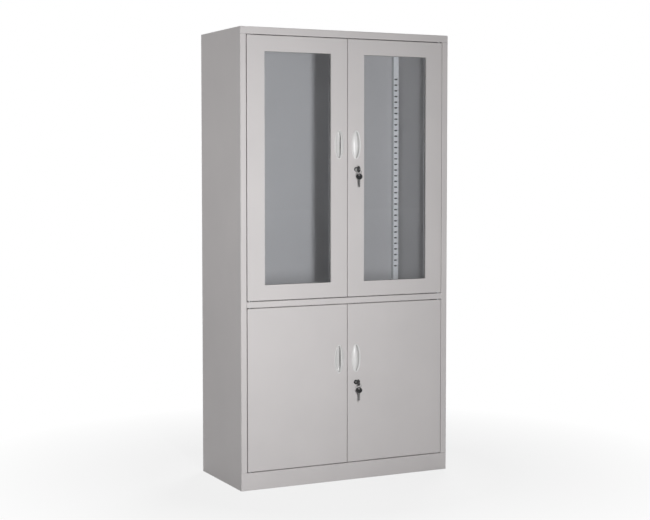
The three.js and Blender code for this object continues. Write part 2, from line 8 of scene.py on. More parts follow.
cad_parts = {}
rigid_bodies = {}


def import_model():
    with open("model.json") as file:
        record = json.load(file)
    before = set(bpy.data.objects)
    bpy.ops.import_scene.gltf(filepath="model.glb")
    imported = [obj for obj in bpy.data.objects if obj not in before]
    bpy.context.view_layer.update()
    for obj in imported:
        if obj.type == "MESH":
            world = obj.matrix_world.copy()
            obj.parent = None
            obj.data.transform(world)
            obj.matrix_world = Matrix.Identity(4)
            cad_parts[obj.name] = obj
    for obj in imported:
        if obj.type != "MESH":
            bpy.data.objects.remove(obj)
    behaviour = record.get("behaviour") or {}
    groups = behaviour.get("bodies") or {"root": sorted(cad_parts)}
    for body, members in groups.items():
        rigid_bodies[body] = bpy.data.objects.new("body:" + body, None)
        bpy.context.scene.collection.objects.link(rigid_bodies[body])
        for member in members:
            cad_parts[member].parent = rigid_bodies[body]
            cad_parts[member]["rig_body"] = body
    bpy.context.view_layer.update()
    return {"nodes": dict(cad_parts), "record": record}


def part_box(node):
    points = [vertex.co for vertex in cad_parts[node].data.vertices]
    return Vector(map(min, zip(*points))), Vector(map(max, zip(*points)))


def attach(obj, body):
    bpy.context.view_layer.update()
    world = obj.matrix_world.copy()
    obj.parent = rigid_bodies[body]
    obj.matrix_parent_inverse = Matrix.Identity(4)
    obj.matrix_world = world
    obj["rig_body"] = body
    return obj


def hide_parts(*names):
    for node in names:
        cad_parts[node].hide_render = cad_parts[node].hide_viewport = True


# Lengths in metres, +Z up, the doors face -Y
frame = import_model()
nodes = frame["nodes"]
slotOf = {row["node"]: row["material_slot"] for row in frame["record"]["subparts"]}
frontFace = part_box("lower_left_door_skin")[0][1]  # y of the doors' fronts
levels = ("upper", "lower")
hands = ("left", "right")


# Node trees, for the finishes and for the rows of copies

nodeFamily = {"ShaderNodeTree": "ShaderNode", "GeometryNodeTree": "GeometryNode"}


def setInputs(tree, node, inputs):
    for key, value in inputs.items():
        if isinstance(value, bpy.types.NodeSocket):
            tree.links.new(value, node.inputs[key])
        else:
            node.inputs[key].default_value = value


def addNode(tree, kind, inputs=None, **settings):
    family = "" if kind.startswith("NodeGroup") else nodeFamily[tree.bl_idname]
    node = tree.nodes.new(family + kind)
    for key, value in settings.items():
        setattr(node, key, value)
    setInputs(tree, node, inputs or {})
    return node


def newMaterial(name):
    material = bpy.data.materials.new(name)
    material.use_nodes = True
    tree = material.node_tree
    tree.nodes.clear()
    output = addNode(tree, "OutputMaterial")
    shader = addNode(tree, "BsdfPrincipled")
    tree.links.new(shader.outputs["BSDF"], output.inputs["Surface"])
    return material, tree, shader


def mixedSurface(tree, share, first, second):
    mix = addNode(tree, "MixShader", {0: share, 1: first.outputs[0], 2: second.outputs[0]})
    tree.links.new(mix.outputs[0], tree.nodes["Material Output"].inputs["Surface"])


def objectPlace(tree):
    return addNode(tree, "TexCoord").outputs["Object"]


def noise(tree, where, scale, detail):
    return addNode(tree, "TexNoise", {"Vector": where, "Scale": scale, "Detail": detail}).outputs["Fac"]


def between(tree, value, low, high, start=0.0, end=1.0):
    node = addNode(tree, "MapRange", {
        "Value": value, "From Min": start, "From Max": end, "To Min": low, "To Max": high})
    return node.outputs["Result"]


def blend(tree, value, low, high, stops=(0.3, 0.7)):  # a noise hardly leaves 0.3 to 0.7
    node = addNode(tree, "ValToRGB", {"Fac": value})
    for element, place, colour in zip(node.color_ramp.elements, stops, (low, high)):
        element.position = place
        element.color = (*colour, 1)
    return node.outputs["Color"]


def bump(tree, height, distance):
    return addNode(tree, "Bump", {"Height": height, "Distance": distance}).outputs["Normal"]


def calc(tree, operation, *values):
    return addNode(tree, "Math", dict(enumerate(values)), operation=operation).outputs[0]


def calcEach(tree, operation, *values):
    return addNode(tree, "VectorMath", dict(enumerate(values)), operation=operation).outputs[0]


# Finishes

powderCoat = {
    "pale": (0.642, 0.616, 0.614),
    "deep": (0.618, 0.594, 0.593),
    "cloudScale": 5.0,
    "peelScale": 480.0,  # about 2 mm from dimple to dimple
    "peelDepth": 0.00002,
    "grainScale": 2600.0,
    "roughness": (0.36, 0.47),
    "inside": 0.81,  # share of the colour in the compartments: painted shade, darker inside than out
    "insideLow": (-0.4495, -0.155, 0.067),
    "insideHigh": (0.4495, 0.2173, 1.7495),
    "shadedSides": 0.84,  # painted shade on top of that, on the inner faces of the cabinet's sides; from here on places count without their signs
    "shadedSidesLow": (0.4475, -0.155, 0.067),
    "shadedSidesHigh": (0.4495, 0.2173, 1.7495),
    "shadedBehind": 0.15,  # painted shade on top of that, on the back panel behind the rear uprights, which shows dark through their slots
    "shadedBehindLow": (0.4135, 0.210, 0.067),
    "shadedBehindHigh": (0.4365, 0.2173, 1.735),
}
uprightCoat = {
    **powderCoat,
    "pale": (0.78, 0.77, 0.77),
    "deep": (0.74, 0.73, 0.73),
    "inside": 1.0,
    "shadedSides": 0.62,  # painted shade on the flank towards the middle of the cabinet
    "shadedSidesLow": (0.4125, -0.155, 0.067),
    "shadedSidesHigh": (0.4142, 0.2173, 1.7495),
}


def withinBox(tree, where, low, high):
    above = calcEach(tree, "SUBTRACT", where, low)
    below = calcEach(tree, "SUBTRACT", high, where)
    least = addNode(tree, "SeparateXYZ", {0: calcEach(tree, "MINIMUM", above, below)}).outputs
    depth = calc(tree, "MINIMUM", calc(tree, "MINIMUM", least["X"], least["Y"]), least["Z"])
    return calc(tree, "GREATER_THAN", depth, 0.0)


def makePaint(name, look):
    material, tree, shader = newMaterial(name)
    where = objectPlace(tree)
    clouds = noise(tree, where, look["cloudScale"], detail=3)
    grain = noise(tree, where, look["grainScale"], detail=1)
    peel = noise(tree, where, look["peelScale"], detail=1)
    colour = blend(tree, clouds, look["deep"], look["pale"])
    # painted shade: darker in the compartments, and more in the spots listed after them
    if "inside" in look:
        folded = calcEach(tree, "ABSOLUTE", where)  # the left half onto the right
        for spot, area in (("inside", where), ("shadedSides", folded), ("shadedBehind", folded)):
            inSpot = withinBox(tree, area, look[spot + "Low"], look[spot + "High"])
            shade = between(tree, inSpot, 1.0, look[spot])
            shaded = addNode(tree, "VectorMath", {0: colour, "Scale": shade}, operation="SCALE")
            colour = shaded.outputs[0]
    setInputs(tree, shader, {
        "Base Color": colour,
        "Roughness": between(tree, grain, *look["roughness"]),
        "Normal": bump(tree, peel, look["peelDepth"]),
    })
    return material


floatGlass = {
    "tint": (0.887, 0.924, 0.960),
    "lampTint": (0.930, 0.939, 0.946),  # of lamp light, at one face of the pane
    "ior": 1.5,
    "smearScale": 7.0,
    "roughness": (0.0, 0.012),
}


def makeGlass(look):
    material, tree, shader = newMaterial("pane_glass")
    smear = noise(tree, objectPlace(tree), look["smearScale"], detail=4)
    setInputs(tree, shader, {
        "Base Color": (*look["tint"], 1),
        "Roughness": between(tree, smear, *look["roughness"]),
        "IOR": look["ior"],
        "Transmission Weight": 1.0,
    })
    rays = addNode(tree, "LightPath").outputs
    lampRay = calc(tree, "MAXIMUM", rays["Is Shadow Ray"], rays["Is Diffuse Ray"])
    clear = addNode(tree, "BsdfTransparent", {"Color": (*look["lampTint"], 1)})
    mixedSurface(tree, lampRay, shader, clear)
    return material


glazingRubber = {
    "dark": (0.018, 0.018, 0.019),
    "worn": (0.045, 0.045, 0.046),
    "stops": (0.35, 0.75),  # more of the dark than of the worn
    "scale": 300.0,
    "depth": 0.00002,
    "roughness": (0.62, 0.85),
}


def makeRubber(look):
    material, tree, shader = newMaterial("glazing_rubber")
    spots = noise(tree, objectPlace(tree), look["scale"], detail=3)
    setInputs(tree, shader, {
        "Base Color": blend(tree, spots, look["dark"], look["worn"], look["stops"]),
        "Roughness": between(tree, spots, *look["roughness"]),
        "Normal": bump(tree, spots, look["depth"]),
    })
    return material


mouldedPull = {
    "pale": (0.76, 0.755, 0.75),
    "deep": (0.72, 0.715, 0.71),
    "flowScale": 90.0,
    "grainScale": 1500.0,
    "grainDepth": 0.000008,
    "roughness": (0.26, 0.36),
    "bowlShade": (0.12, 0.118, 0.115),  # painted shade under the lid and deep in the bowl
    "reach": (-0.002, 0.004),  # behind the door's face: no painted shade yet, and all of it
    "under": (0.0320, 0.0275),  # from the doors' meeting edge: outside the lid, and under it
    "open": 0.15,  # share of the painted shade outside the lid
}


def makePullPlastic(look):
    material, tree, shader = newMaterial("pull_plastic")
    where = objectPlace(tree)
    flow = noise(tree, where, look["flowScale"], detail=2)
    grain = noise(tree, where, look["grainScale"], detail=1)
    place = addNode(tree, "SeparateXYZ", {0: where}).outputs
    # painted shade in the bowl: full behind the door's face under the lid, and a share of it outside the
    # lid
    inside = between(tree, place["Y"], 0.0, 1.0, *(frontFace + depth for depth in look["reach"]))
    aside = calc(tree, "ABSOLUTE", place["X"])
    under = between(tree, aside, look["open"], 1.0, *look["under"])
    colour = addNode(tree, "MixRGB", {
        "Fac": calc(tree, "MULTIPLY", inside, under),
        "Color1": blend(tree, flow, look["deep"], look["pale"]),
        "Color2": (*look["bowlShade"], 1),
    })
    setInputs(tree, shader, {
        "Base Color": colour.outputs["Color"],
        "Roughness": between(tree, grain, *look["roughness"]),
        "Normal": bump(tree, grain, look["grainDepth"]),
    })
    return material


zincPlate = {
    "dark": (0.42, 0.43, 0.45),
    "pale": (0.62, 0.63, 0.64),
    "roughness": (0.28, 0.5),
    "scale": 160.0,
    "depth": 0.000004,
}
darkNickel = {
    **zincPlate,
    "dark": (0.13, 0.13, 0.135),
    "pale": (0.24, 0.24, 0.245),
    "roughness": (0.22, 0.38),
    "scale": 900.0,
}
milledSteel = {
    **zincPlate,
    "dark": (0.30, 0.30, 0.30),
    "pale": (0.44, 0.44, 0.44),
    "roughness": (0.28, 0.42),
    "scale": 700.0,
}
springWire = {
    **zincPlate,
    "dark": (0.55, 0.55, 0.55),
    "pale": (0.72, 0.72, 0.72),
    "roughness": (0.12, 0.24),
    "scale": 500.0,
}
blackBow = {
    "pale": (0.022, 0.022, 0.023),
    "deep": (0.012, 0.012, 0.013),
    "cloudScale": 140.0,
    "peelScale": 1800.0,
    "peelDepth": 0.00001,
    "grainScale": 900.0,
    "roughness": (0.32, 0.45),
}


def makeMetal(name, look):
    material, tree, shader = newMaterial(name)
    grain = noise(tree, objectPlace(tree), look["scale"], detail=3)
    setInputs(tree, shader, {
        "Base Color": blend(tree, grain, look["dark"], look["pale"]),
        "Metallic": 1.0,
        "Roughness": between(tree, grain, *look["roughness"]),
        "Normal": bump(tree, grain, look["depth"]),
    })
    return material


paint = makePaint("body_powder_coat", powderCoat)
doorPaint = makePaint("door_powder_coat", powderCoat)
uprightPaint = makePaint("upright_powder_coat", uprightCoat)
glass = makeGlass(floatGlass)
rubber = makeRubber(glazingRubber)
pullPlastic = makePullPlastic(mouldedPull)
zinc = makeMetal("zinc_plate", zincPlate)
nickel = makeMetal("dark_nickel", darkNickel)
plugSteel = makeMetal("plug_steel", milledSteel)
ringSteel = makeMetal("ring_wire", springWire)
bowPlastic = makePaint("bow_plastic", blackBow)
slotFinish = {
    "paint": paint,
    "door_paint": doorPaint,
    "glass": glass,
    "gasket": rubber,
    "pull": pullPlastic,
    "lock": nickel,
    "steel": plugSteel,
    "zinc": zinc,
    "key_bow": bowPlastic,
    "ring": ringSteel,
}
for name, slotName in slotOf.items():
    nodes[name].data.materials.clear()
    nodes[name].data.materials.append(slotFinish[slotName])
print("finishes:", len(slotFinish))


# Pieces: each rides the body of a carrier node, and most take the place of nodes

def newObject(name, shape, finish):
    mesh = bpy.data.meshes.new(name)
    shape.to_mesh(mesh)
    shape.free()
    mesh.materials.append(finish)
    mesh.shade_smooth()
    piece = bpy.data.objects.new(name, mesh)
    bpy.context.scene.collection.objects.link(piece)
    return piece


def rideOn(piece, carrier, replaced):
    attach(piece, nodes[carrier]["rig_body"])
    if replaced:
        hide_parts(*replaced)


def addPiece(name, shape, finish, carrier, replaced=(), crease=35):  # crease in degrees
    bmesh.ops.recalc_face_normals(shape, faces=shape.faces)
    piece = newObject(name, shape, finish)
    piece.data.set_sharp_from_angle(angle=math.radians(crease))
    rideOn(piece, carrier, replaced)


def cornersOf(node):
    low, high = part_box(node)
    return Vector(low), Vector(high)


# Sheet metal and plain fittings with their edges eased, each made over a merged copy of its node

sheetEdges = {
    "merge": 0.00001,
    "flat": 0.3,  # degrees
    "ease": 0.0003,
    "segments": 2,
    "sharp": 55,  # degrees, above the steps of a fold
    "faceWeight": 100,  # the large faces keep their normals
}


def easedSheet(name):
    source = nodes[name].data
    shape = bmesh.new()
    shape.from_mesh(source)
    bmesh.ops.remove_doubles(shape, verts=shape.verts, dist=sheetEdges["merge"])
    bmesh.ops.dissolve_limit(
        shape, angle_limit=math.radians(sheetEdges["flat"]), verts=shape.verts, edges=shape.edges)
    piece = newObject(name + "_sheet", shape, source.materials[0])
    edge = piece.modifiers.new("eased_edges", "BEVEL")
    edge.width = sheetEdges["ease"]
    edge.segments = sheetEdges["segments"]
    edge.limit_method = "ANGLE"
    edge.angle_limit = math.radians(sheetEdges["sharp"])
    edge.use_clamp_overlap = False
    flatten = piece.modifiers.new("flat_faces", "WEIGHTED_NORMAL")
    flatten.weight = sheetEdges["faceWeight"]
    rideOn(piece, name, [name])


plainNodes = [
    name for name, slotName in slotOf.items()
    if slotName in ("paint", "door_paint", "zinc") and not name.endswith("upright")]
for name in plainNodes:
    easedSheet(name)
print("sheet metal and fittings:", len(plainNodes), "pieces")


# Skins lofted through rings of equal length

def loft(shape, rings, loop=False, caps=(0, -1)):
    rows = [[shape.verts.new(point) for point in ring] for ring in rings]
    for near, far in zip(rows, rows[1:] + (rows[:1] if loop else [])):
        for i in range(len(near)):
            j = (i + 1) % len(near)
            shape.faces.new((near[i], near[j], far[j], far[i]))
    if not loop:
        for end in caps:
            shape.faces.new(rows[end])


def lofted(rings, loop=False):
    shape = bmesh.new()
    loft(shape, rings, loop)
    return shape


def arc(centre, radii, start, end, steps):
    turns = [math.radians(start + (end - start) * i / steps) for i in range(steps + 1)]
    return [(centre[0] + radii[0] * math.cos(a), centre[1] + radii[1] * math.sin(a)) for a in turns]


def around(count):
    return [2 * math.pi * i / count for i in range(count)]


def turned(profile, count, x=0.0, z=0.0):  # radius and depth of each ring, about a line along y
    return [[(x + r * math.cos(a), y, z + r * math.sin(a)) for a in around(count)] for r, y in profile]


# Flush pulls: a beaded rim, a finger bowl, and a thin domed lid over the half by the meeting edge

pullShape = {
    "seat": 0.0003,
    "rim": 0.004,
    "flange": 0.002,
    "wall": 0.0016,
    "bead": 0.0009,  # outer rounding of the rim
    "beadSteps": 4,
    "crown": 0.0022,  # where the rim starts to roll into the bowl
    "bowl": 0.0085,  # how far the wall of the bowl curves in
    "lidInset": 0.001,
    "lidGap": 0.003,  # from the lid's free edge to the middle
    "lidEnd": 0.06,  # radians short of where the lid runs out
    "around": 72,
    "steps": 8,
    "stations": 40,
}


def pullBowl(shape, middle, half, cupDepth):
    look = pullShape
    bead, crown, bowl, steps = look["bead"], look["crown"], look["bowl"], look["steps"]
    top = -look["seat"] - look["flange"]
    lip = look["rim"] + look["wall"]
    roll = lip - crown
    bottom = lip + bowl
    span = cupDepth - look["wall"] - top - roll
    # inset from the outline of the rim, and depth behind the door's face
    front = [(0, -look["seat"])]
    front += arc((bead, top + bead), (bead, bead), 180, 270, look["beadSteps"])
    front += arc((crown, top + roll), (roll, roll), 270, 360, steps)
    front += arc((bottom, top + roll), (bowl, span), 180, 90, steps)[1:]
    rear = [(look["rim"], -look["seat"])]
    rear += arc((bottom, top + roll), (bottom - look["rim"], span + look["wall"]), 180, 90, steps)
    rings = []
    for inset, depth in front[::-1] + rear:
        wide, tall = half.x - inset, half.z - inset
        rings.append([
            (middle.x + wide * math.cos(a), frontFace + depth, middle.z + tall * math.sin(a))
            for a in around(look["around"])])
    loft(shape, rings)


def pullLid(shape, middle, half, rise, side):
    look = pullShape
    wide, high = half.x - look["lidInset"], half.z - look["lidInset"]
    steepest = math.acos(look["lidGap"] / wide) - look["lidEnd"]

    def across(station):
        share = math.cos(station)
        last = math.degrees(math.acos(-look["lidGap"] / (wide * share)))
        dome = arc((0, 0), (wide * share, rise * share), 180, last, look["steps"] * 2)
        outer = [Vector((x, -look["seat"] - y, high * math.sin(station))) for x, y in dome]
        inner = []
        for point in outer:  # the wall goes in along the dome's normal
            out = Vector((point.x / wide ** 2, (point.y + look["seat"]) / rise ** 2, point.z / high ** 2))
            inner.append(point - out.normalized() * look["wall"])
        hub, arm = (outer[-1] + inner[-1]) / 2, (outer[-1] - inner[-1]) / 2
        lip = [hub + arm * math.cos(a) + Vector((look["wall"] / 2 * math.sin(a), 0, 0))
               for a in (math.pi / 4, math.pi / 2, 3 * math.pi / 4)]
        ring = outer + lip + inner[::-1]
        return [(middle.x - side * p.x, frontFace + p.y, middle.z + p.z) for p in ring]

    count = look["stations"]
    loft(shape, [across(steepest * (2 * i / count - 1)) for i in range(count + 1)])


for level in levels:
    for hand, side in (("left", 1), ("right", -1)):
        node = f"{level}_{hand}_door_pull"
        low, high = cornersOf(node)
        middle, half = (low + high) / 2, (high - low) / 2
        shape = bmesh.new()
        pullBowl(shape, middle, half, high.y - frontFace)
        pullLid(shape, middle, half, frontFace - pullShape["seat"] - low.y, side)
        addPiece(node + "_shell", shape, pullPlastic, node, [node])
print("pulls: 4")


# Cam locks: a turned bezel and barrel, and a plug with its keyway

lockShape = {
    "seat": 0.0003,
    "bezel": 0.009,
    "chamfer": 0.0008,
    "groove": (0.0063, 0.0069),  # radii of the turned ring
    "grooveDepth": 0.0004,
    "bore": 0.0058,
    "barrel": 0.0077,
    "plug": 0.0055,
    "plugTail": 0.004,
    "edge": 0.0004,
    "keyway": (0.0014, 0.0038),  # half width, half height
    "keywayDepth": 0.018,
    "around": 48,
}


def makeBarrel(node):
    look = lockShape
    low, high = cornersOf(node)
    middle = (low + high) / 2
    front, base, rear = low.y, frontFace - look["seat"], high.y
    bezel, bore, barrel = look["bezel"], look["bore"], look["barrel"]
    chamfer, edge = look["chamfer"], look["edge"]
    inner, outer = look["groove"]
    floor = front + look["grooveDepth"]
    profile = [  # round the section, from the seat of the bezel
        (bezel, base), (bezel, front + chamfer), (bezel - chamfer, front),
        (outer, front), (outer - edge / 2, floor), (inner + edge / 2, floor), (inner, front),
        (bore + edge, front), (bore, front + edge), (bore, rear), (barrel, rear), (barrel, base),
    ]
    shape = lofted(turned(profile, look["around"], middle.x, middle.z), loop=True)
    addPiece(node + "_turned", shape, nickel, node, [node])


def makePlug(node, cam):
    look = lockShape
    low, high = cornersOf(node)
    middle = (low + high) / 2
    front, rear = low.y, high.y
    camFront, camRear = (corner.y for corner in cornersOf(cam))
    shoulder, head = camFront - look["seat"], camRear + look["seat"]
    plug, tail, edge = look["plug"], look["plugTail"], look["edge"]
    wide, tall = look["keyway"]
    keyway = []
    for a in around(look["around"]):
        reach = 1 / max(abs(math.cos(a)) / wide, abs(math.sin(a)) / tall)
        keyway.append((middle.x + reach * math.cos(a), middle.z + reach * math.sin(a)))
    profile = [  # from the face to the tail behind the cam
        (plug - edge, front), (plug, front + edge), (plug, shoulder), (tail, shoulder),
        (tail, head), (plug, head), (plug, rear - edge), (plug - edge, rear),
    ]
    rings = [[(x, y, z) for x, z in keyway] for y in (frontFace + look["keywayDepth"], front)]
    shape = lofted(rings + turned(profile, look["around"], middle.x, middle.z))
    addPiece(node + "_turned", shape, plugSteel, node, [node])


for level in levels:
    makeBarrel(level + "_lock_barrel")
    makePlug(level + "_lock_plug", level + "_lock_cam")
print("locks: 2")


# Keys, drawn about the ring hole, blade down: a moulded bow with a raised border, and a milled blade

keyShape = {
    "holeInset": 0.0056,
    "bow": (0.0125, 0.0115),  # half width, half length
    "hole": 0.0037,
    "thick": 0.0015,  # half of the bow
    "field": 0.0010,  # half of the bow inside its border
    "rounding": ((0.03, 0.85), (0, 0.5)),  # of the outer edge, as shares of the way and of the thickness
    "border": (0.10, 0.26, 0.32),  # crown and step of the border, as shares of the way to the hole
    "collar": (0.72, 0.80, 0.88),  # step and crown of the collar round the hole, likewise
    "bladeWidth": 0.0035,  # half
    "bladeThick": 0.0011,  # half
    "bladeLength": 0.029,
    "root": 0.0035,  # of the blade inside the bow
    "groove": (0.0014, 0.0008, 0.0005),  # half width at the face, at its floor, depth
    "grooveMost": (0.8, 0.5),  # of the blade's half width, at the face and at its floor
    "cuts": (0.0008, 0.0014, 0.0004, 0.0011, 0.0007),
    "cutStart": 0.0085,
    "cutPitch": 0.0038,
    "cutFlat": 0.0006,  # half
    "tip": (0.0030, 0.0010),  # length, half width at the end
    "spareTwist": 45,  # degrees
    "around": 48,
}


def keyBow(shape):
    look = keyShape
    (wide, tall), hole = look["bow"], look["hole"]
    thick, field = look["thick"], look["field"]
    crown, step, floor = look["border"]
    collarFoot, collarStart, collarEnd = look["collar"]
    front = [  # from the hole out to the edge
        (1, field), (collarEnd, thick), (collarStart, thick), (collarFoot, field),
        (floor, field), (step, thick), (crown, thick),
    ]
    front += [(share, thick * part) for share, part in look["rounding"]]
    rings = []
    for share, depth in front + [(s, -d) for s, d in front[::-1]]:
        drop = (look["holeInset"] - tall) * (1 - share)
        across, up = wide + (hole - wide) * share, tall + (hole - tall) * share
        rings.append([
            (across * math.cos(a), depth, drop + up * math.sin(a)) for a in around(look["around"])])
    loft(shape, rings, loop=True)


def keyBlade(shape):
    look = keyShape
    start = look["holeInset"] - 2 * look["bow"][1]
    half, thick, flat = look["bladeWidth"], look["bladeThick"], look["cutFlat"]
    stations = [(-look["root"], half)]
    for i, cut in enumerate(look["cuts"]):
        place = look["cutStart"] + i * look["cutPitch"]
        stations += [(place - flat - cut, half), (place - flat, half - cut)]
        stations += [(place + flat, half - cut), (place + flat + cut, half)]
    length, end = look["tip"]
    stations += [(look["bladeLength"] - length, half), (look["bladeLength"], end)]
    wide, narrow, deep = look["groove"]
    mostWide, mostNarrow = look["grooveMost"]

    def section(place, edge):
        groove = [(-min(wide, edge * mostWide), thick), (-min(narrow, edge * mostNarrow), thick - deep)]
        side = [(-edge, thick)] + groove
        face = side + [(-x, y) for x, y in side[::-1]]
        return [(x, y, start - place) for x, y in face + [(x, -y) for x, y in face[::-1]]]

    loft(shape, [section(place, edge) for place, edge in stations])


def makeKey(node, pose):
    for part, draw, finish, slotName in (
            ("bow", keyBow, bowPlastic, "key_bow"), ("blade", keyBlade, plugSteel, "steel")):
        shape = bmesh.new()
        draw(shape)
        bmesh.ops.transform(shape, matrix=pose, verts=shape.verts)
        addPiece(f"{node}_{part}", shape, finish, node, [node])


intoLock = Matrix(((0, 1, 0), (0, 0, -1), (-1, 0, 0))).to_4x4()  # blade to the rear, bow upright
twist = Matrix.Rotation(math.radians(-keyShape["spareTwist"]), 4, "Z")
for level in levels:
    low, high = cornersOf(level + "_key")
    middle = (low + high) / 2
    seated = Matrix.Translation((middle.x, low.y + keyShape["holeInset"], middle.z))
    makeKey(level + "_key", seated @ intoLock)
    low, high = cornersOf(level + "_spare_key")
    middle = (low + high) / 2
    hung = Matrix.Translation((middle.x, middle.y, high.z - keyShape["holeInset"]))
    makeKey(level + "_spare_key", hung @ twist)
print("keys: 4")


# Split rings: two turns of flat wire, side by side, that cross over once

ringShape = {
    "radius": 0.009,
    "wire": (0.00072, 0.00036),  # half height, half width
    "crossing": (0.46, 0.54),  # along the wire
    "ends": 25,  # degrees left between the wire's two ends
    "segments": 120,
    "sides": 8,
    "crease": 60,  # degrees, above the steps round the wire
}


def makeRing(node):
    look = ringShape
    low, high = cornersOf(node)
    tall, wide = look["wire"]
    first, last = look["crossing"]
    whole = math.radians(720 - look["ends"])
    rings = []
    for i in range(look["segments"] + 1):
        share = i / look["segments"]
        turn = whole * share
        out = Vector((math.cos(turn), 0, math.sin(turn)))
        cross = min(max((share - first) / (last - first), 0), 1)
        centre = (low + high) / 2 + out * look["radius"] + Vector((0, wide * (2 * cross - 1), 0))
        rings.append([
            centre + out * tall * math.cos(a) + Vector((0, wide * math.sin(a), 0))
            for a in around(look["sides"])])
    addPiece(node + "_coil", lofted(rings), ringSteel, node, [node], look["crease"])


for level in levels:
    makeRing(level + "_key_ring")
print("key rings: 2")


# Rows of small things by Geometry Nodes: the object's own mesh is set on a line or round a frame

rowMerge = 0.00002  # closes the seams between copies that meet


def newRow(name, inputs):
    tree = bpy.data.node_groups.new(name, "GeometryNodeTree")
    tree.interface.new_socket("Geometry", in_out="INPUT", socket_type="NodeSocketGeometry")
    for socket, kind in inputs.items():
        tree.interface.new_socket(socket, in_out="INPUT", socket_type="NodeSocket" + kind)
    tree.interface.new_socket("Geometry", in_out="OUTPUT", socket_type="NodeSocketGeometry")
    return tree, addNode(tree, "NodeGroupInput").outputs


def finishRow(tree, given, points):
    copies = addNode(tree, "InstanceOnPoints", {"Points": points, "Instance": given["Geometry"]})
    whole = addNode(tree, "RealizeInstances", {"Geometry": copies.outputs[0]})
    joined = addNode(tree, "MergeByDistance", {"Geometry": whole.outputs[0], "Distance": rowMerge})
    finished = addNode(tree, "SetMaterial", {
        "Geometry": joined.outputs[0], "Material": given["Finish"]})
    addNode(tree, "NodeGroupOutput", {"Geometry": finished.outputs[0]})
    return tree


def makeLineRow():
    tree, given = newRow("copies_on_a_line", {
        "Count": "Int", "Step": "Vector", "Start": "Vector", "Finish": "Material"})
    line = addNode(tree, "MeshLine", {
        "Count": given["Count"], "Offset": given["Step"], "Start Location": given["Start"]})
    return finishRow(tree, given, line.outputs["Mesh"])


def makeFrameRow():
    tree, given = newRow("copies_round_a_frame", {
        "Width": "Float", "Height": "Float", "Spacing": "Float", "Start": "Vector", "Finish": "Material"})
    border = addNode(tree, "CurvePrimitiveQuadrilateral", {
        "Width": given["Width"], "Height": given["Height"]})
    standing = addNode(tree, "Transform", {
        "Geometry": border.outputs[0], "Rotation": (math.pi / 2, 0, 0), "Translation": given["Start"]})
    even = addNode(
        tree, "ResampleCurve", {"Curve": standing.outputs[0], "Length": given["Spacing"]}, mode="LENGTH")
    return finishRow(tree, given, even.outputs[0])


lineRow, frameRow = makeLineRow(), makeFrameRow()


def repeated(shape, tree, **values):
    bmesh.ops.recalc_face_normals(shape, faces=shape.faces)
    mesh = bpy.data.meshes.new("seed")
    shape.to_mesh(mesh)
    shape.free()
    seed = bpy.data.objects.new("seed", mesh)
    bpy.context.scene.collection.objects.link(seed)
    row = seed.modifiers.new("row", "NODES")
    row.node_group = tree
    sockets = {item.name: item.identifier for item in tree.interface.items_tree if item.in_out == "INPUT"}
    for name, value in values.items():  # all set before the first evaluation
        row[sockets[name]] = value
    graph = bpy.context.evaluated_depsgraph_get()
    result = bpy.data.meshes.new_from_object(seed.evaluated_get(graph))
    bpy.data.objects.remove(seed)
    bpy.data.meshes.remove(mesh)
    return result


def gathered(meshes):
    shape = bmesh.new()
    for mesh in meshes:
        mesh.materials.clear()  # and the faces' slot numbers, since the whole piece gets one finish
        shape.from_mesh(mesh)
        bpy.data.meshes.remove(mesh)
    return shape


# Slotted uprights: one pitch of the channel with its slot, repeated, between two plain ends

uprightShape = {
    "width": 0.024,
    "sheet": 0.001,
    "fold": 0.0020,  # outer radius
    "foldSteps": 3,
    "slot": (0.0085, 0.0031),  # half width, half height
    "slotSteps": 3,
    "pitch": 0.024,
    "first": {"upper": 0.0857, "lower": 0.0617},  # from the foot to the first slot
    "topGap": {"upper": 0.126, "lower": 0.100},
    "footThick": 0.0015,
    "merge": 0.00002,
}


def slotOutline():
    wide, tall = uprightShape["slot"]
    right = arc((wide - tall, 0), (tall, tall), -90, 90, uprightShape["slotSteps"])
    return right + [(-x, -z) for x, z in right]


def webOutline(count):
    half, tall = uprightShape["width"] / 2 - uprightShape["fold"], uprightShape["pitch"] / 2
    side = [(half, tall * (2 * i / (count - 1) - 1)) for i in range(count)]
    return side + [(-x, -z) for x, z in side]


def foldSection(depth):
    look = uprightShape
    half, fold, thick = look["width"] / 2, look["fold"], look["sheet"]
    corner = (half - fold, fold)
    inner = arc(corner, (fold - thick, fold - thick), -90, 0, look["foldSteps"]) + [(half - thick, depth)]
    outer = [(half, depth)] + arc(corner, (fold, fold), 0, -90, look["foldSteps"])
    return inner + outer


def slottedCell(depth):
    slot = slotOutline()
    steps = len(slot) // 2
    edge = webOutline(steps)
    thick = uprightShape["sheet"]
    shape = bmesh.new()
    outlines = ((edge, 0), (slot, 0), (slot, thick), (edge, thick))
    loft(shape, [[(x, y, z) for x, z in outline] for outline, y in outlines], caps=())
    section = foldSection(depth)
    for side in (1, -1):
        rows = [[shape.verts.new((side * x, y, z)) for x, y in section] for _, z in edge[:steps]]
        for low, high in zip(rows, rows[1:]):
            for i in range(len(low) - 1):
                shape.faces.new((low[i], low[i + 1], high[i + 1], high[i]))
    return shape


def slottedChannel(level, depth, tall):
    look = uprightShape
    pitch, first = look["pitch"], look["first"][level]
    count = int((tall - look["topGap"][level] - first) / pitch) + 1
    shape = gathered([repeated(
        slottedCell(depth), lineRow, Count=count, Step=(0, 0, pitch), Start=(0, 0, first),
        Finish=uprightPaint)])
    section = foldSection(depth)
    rim = section + [(-x, y) for x, y in section[::-1]]
    slotted = (first - pitch / 2, first + (count - 0.5) * pitch)
    for outside, inside in zip((0, tall), slotted):
        loft(shape, [[(x, y, z) for x, y in rim] for z in (outside, inside)], caps=(0,))
    bmesh.ops.remove_doubles(shape, verts=shape.verts, dist=look["merge"])
    return shape


